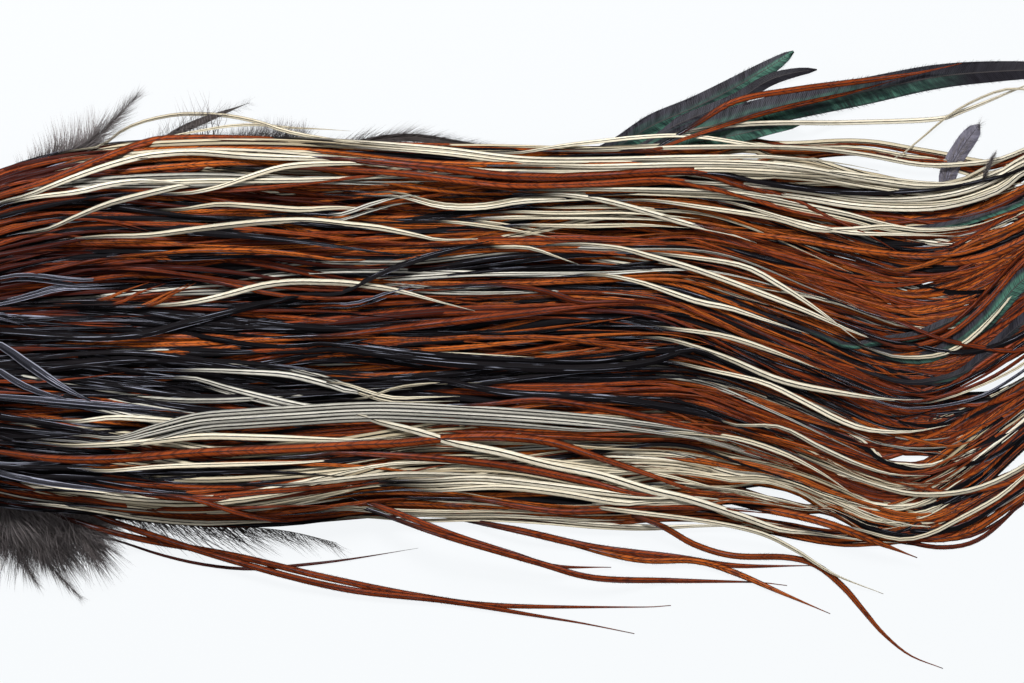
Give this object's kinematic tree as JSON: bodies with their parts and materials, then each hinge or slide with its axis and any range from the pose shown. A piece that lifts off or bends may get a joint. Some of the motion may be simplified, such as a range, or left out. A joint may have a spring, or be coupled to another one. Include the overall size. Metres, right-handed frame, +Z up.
{
  "type": "rooster saddle hackle",
  "caption": "Dried rooster saddle: a flat patch of skin whose long, narrow hackle feathers sweep to one side, sag and curl up at their tips.",
  "frame": {"origin": "the middle of the skin's flat underside, which lies on the surface that the saddle rests on", "axes": "+X from the skin along the feathers to their tips, +Y across the saddle to the edge that the tips curl towards, +Z up from the surface"},
  "size_m": [0.4197, 0.1868, 0.0189],
  "materials": {
    "saddle": "silky feathers, rust brown, cream and black, each with a dark centre line, on parchment-like skin",
    "furnace": "silky rust-brown feather with a dark centre line",
    "badger": "silky cream feather with a black centre line",
    "green": "webby black feather with a green gloss",
    "down": "dull grey-brown down"
  },
  "bodies": {
    "root": {"saddle": "saddle", "downy_feather_1": "down", "downy_feather_2": "down", "downy_feather_3": "down", "downy_feather_4": "down", "downy_feather_5": "down", "stray_hackle_01": "furnace", "stray_hackle_02": "furnace", "stray_hackle_03": "badger", "stray_hackle_04": "furnace", "stray_hackle_05": "furnace", "stray_hackle_06": "furnace", "stray_hackle_07": "furnace", "stray_hackle_08": "furnace", "stray_hackle_09": "furnace", "stray_hackle_10": "badger", "stray_hackle_11": "furnace", "stray_hackle_12": "furnace", "green_feather_1": "green", "green_feather_2": "green", "green_feather_3": "green", "green_feather_4": "green"}
  },
  "joints": []
}
